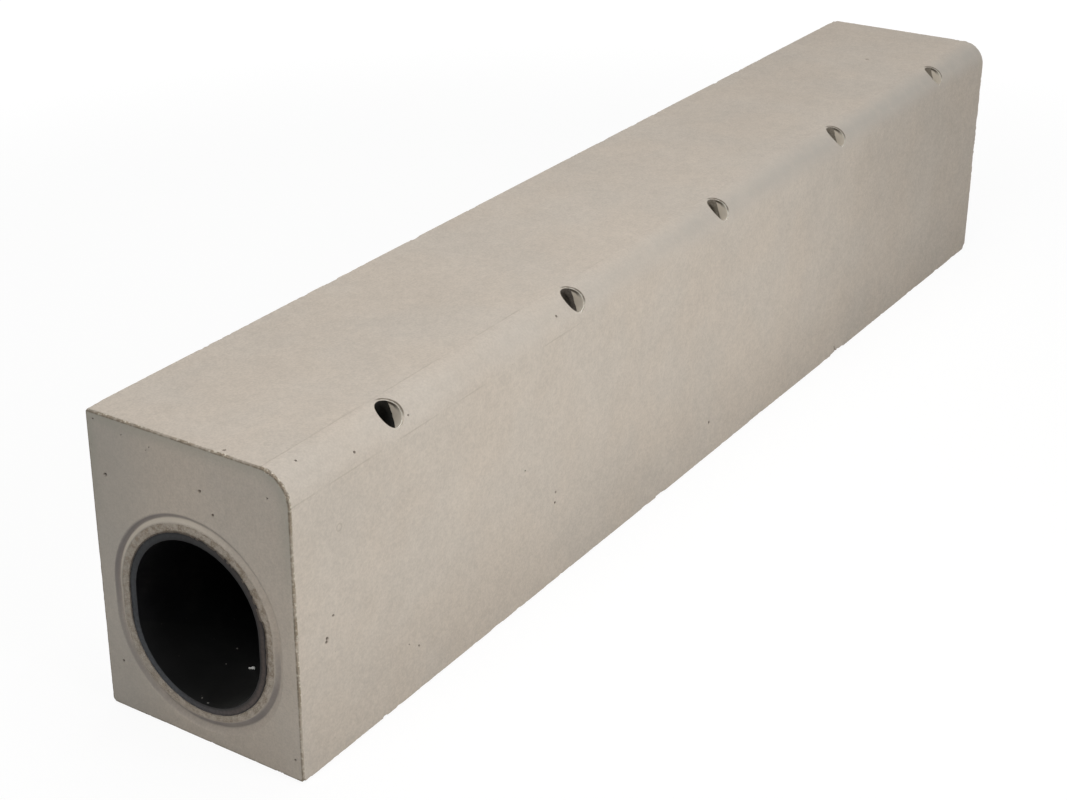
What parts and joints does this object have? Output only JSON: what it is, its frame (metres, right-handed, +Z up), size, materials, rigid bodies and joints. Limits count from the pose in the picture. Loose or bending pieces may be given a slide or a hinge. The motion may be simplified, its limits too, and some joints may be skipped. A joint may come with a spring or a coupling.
{
  "type": "drainage kerb stone",
  "caption": "Straight concrete kerb stone with an oval plastic-lined drainage channel along it, a seal groove around each end of the channel and slanted inlets along its rounded road edge.",
  "frame": {"origin": "middle of the underside", "axes": "+X along the kerb, -Y towards the road side with the rounded edge and the inlets, +Z up"},
  "size_m": [1, 0.15, 0.2],
  "materials": {
    "concrete": "matte",
    "liner_plastic": "satin"
  },
  "bodies": {
    "root": {"kerb_block": "concrete", "channel_liner": "liner_plastic"}
  },
  "joints": []
}
